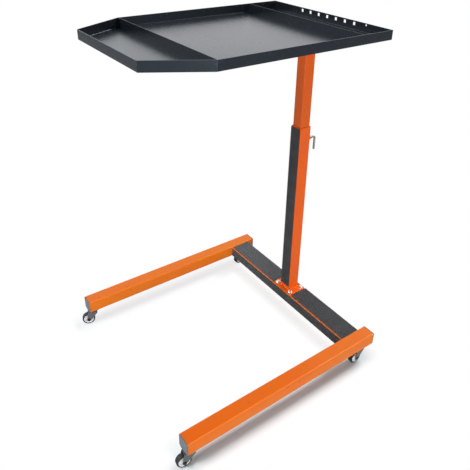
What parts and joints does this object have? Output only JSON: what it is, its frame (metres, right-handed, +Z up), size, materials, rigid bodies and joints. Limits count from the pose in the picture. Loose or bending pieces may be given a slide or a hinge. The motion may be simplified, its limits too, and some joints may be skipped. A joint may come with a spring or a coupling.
{
  "type": "mobile workbench",
  "caption": "Mobile workbench: a shallow divided steel tray on a height-adjustable square mast, over a U-shaped rolling base with swivel casters.",
  "frame": {"origin": "bottom centre of the bounding box, on the floor between the wheels", "axes": "+Z up; +Y to the rear, where the mast stands; -Y to the open leg ends and the narrowed front of the tray; +X to the right as seen from the open side looking along +Y"},
  "size_m": [0.812, 0.8436, 1.223],
  "materials": {
    "orange_paint": "semi-gloss orange powder coat",
    "tray_paint": "semi-gloss charcoal powder coat",
    "strip_rubber": "matt dark grey, fine ribs lengthwise",
    "grey_plastic": "matt light grey plastic",
    "black_plastic": "matt black plastic",
    "zinc": "bright zinc plate",
    "brass_tip": "turned brass",
    "caster_paint": "dark painted pressed steel",
    "wheel_rim": "bright moulded wheel body",
    "tyre_rubber": "black rubber"
  },
  "bodies": {
    "base": {"leg_left": "orange_paint", "leg_right": "orange_paint", "crossbar": "orange_paint", "foot_plate": "orange_paint", "mast_outer_tube": "orange_paint", "lock_boss": "orange_paint", "end_cap_front_left": "grey_plastic", "end_cap_front_right": "grey_plastic", "end_cap_rear_left": "grey_plastic", "end_cap_rear_right": "grey_plastic", "top_strip_left": "strip_rubber", "top_strip_right": "strip_rubber", "front_strip": "strip_rubber", "mast_strip": "strip_rubber", "guide_sleeve": "black_plastic", "foot_bolt_front_left": "zinc", "weld_nut_front_left": "zinc", "caster_mount_front_left": "caster_paint", "swivel_pin_front_left": "zinc", "foot_bolt_front_right": "zinc", "weld_nut_front_right": "zinc", "caster_mount_front_right": "caster_paint", "swivel_pin_front_right": "zinc", "foot_bolt_rear_left": "zinc", "weld_nut_rear_left": "zinc", "caster_mount_rear_left": "caster_paint", "swivel_pin_rear_left": "zinc", "foot_bolt_rear_right": "zinc", "weld_nut_rear_right": "zinc", "caster_mount_rear_right": "caster_paint", "swivel_pin_rear_right": "zinc"},
    "mast_head": {"mast_inner_tube": "orange_paint", "inner_glide": "black_plastic", "head_plate": "orange_paint", "tray_rail_left": "tray_paint", "tray_rail_right": "tray_paint", "tray_pan": "tray_paint", "tray_rear_wall": "tray_paint", "front_divider": "tray_paint", "rear_divider": "tray_paint"},
    "lock_feed": {"lock_tip": "brass_tip"},
    "lock_handle": {"lock_screw": "zinc"},
    "caster_front_left": {"fork_front_left": "caster_paint", "axle_front_left": "zinc"},
    "wheel_front_left": {"wheel_front_left": "wheel_rim", "tyre_front_left": "tyre_rubber"},
    "caster_front_right": {"fork_front_right": "caster_paint", "axle_front_right": "zinc"},
    "wheel_front_right": {"wheel_front_right": "wheel_rim", "tyre_front_right": "tyre_rubber"},
    "caster_rear_left": {"fork_rear_left": "caster_paint", "axle_rear_left": "zinc"},
    "wheel_rear_left": {"wheel_rear_left": "wheel_rim", "tyre_rear_left": "tyre_rubber"},
    "caster_rear_right": {"fork_rear_right": "caster_paint", "axle_rear_right": "zinc"},
    "wheel_rear_right": {"wheel_rear_right": "wheel_rim", "tyre_rear_right": "tyre_rubber"}
  },
  "joints": [
    {"name": "mast_height", "type": "slide", "parent": "base", "child": "mast_head", "axis": [0, 0, 1], "range_m": [-0.3, 0.08]},
    {"name": "lock_travel", "type": "slide", "parent": "base", "child": "lock_feed", "axis": [0, 1, 0], "range_m": [0, 0.0026]},
    {"name": "lock_turn", "type": "hinge", "parent": "lock_feed", "child": "lock_handle", "pos_m": [0, 0.38477, 0.782], "axis": [0, 1, 0], "range_deg": [0, 720]},
    {"name": "swivel_front_left", "type": "hinge", "parent": "base", "child": "caster_front_left", "pos_m": [-0.381, -0.37623, 0.06], "axis": [0, 0, 1], "continuous": true},
    {"name": "roll_front_left", "type": "hinge", "parent": "caster_front_left", "child": "wheel_front_left", "pos_m": [-0.38784, -0.39503, 0.025], "axis": [0.9397, -0.342, 0], "continuous": true},
    {"name": "swivel_front_right", "type": "hinge", "parent": "base", "child": "caster_front_right", "pos_m": [0.381, -0.37623, 0.06], "axis": [0, 0, 1], "continuous": true},
    {"name": "roll_front_right", "type": "hinge", "parent": "caster_front_right", "child": "wheel_front_right", "pos_m": [0.37753, -0.39593, 0.025], "axis": [0.9848, -0.1736, 0], "continuous": true},
    {"name": "swivel_rear_left", "type": "hinge", "parent": "base", "child": "caster_rear_left", "pos_m": [-0.381, 0.36777, 0.06], "axis": [0, 0, 1], "continuous": true},
    {"name": "roll_rear_left", "type": "hinge", "parent": "caster_rear_left", "child": "wheel_rear_left", "pos_m": [-0.37822, 0.34796, 0.025], "axis": [0.9903, 0.1392, 0], "continuous": true},
    {"name": "swivel_rear_right", "type": "hinge", "parent": "base", "child": "caster_rear_right", "pos_m": [0.381, 0.36777, 0.06], "axis": [0, 0, 1], "continuous": true},
    {"name": "roll_rear_right", "type": "hinge", "parent": "caster_rear_right", "child": "wheel_rear_right", "pos_m": [0.381, 0.34777, 0.025], "axis": [1, 0, 0], "continuous": true}
  ],
  "couplings": [
    {"joint": "lock_travel", "follows": "lock_turn", "m_per_rad": 0.00019894}
  ]
}
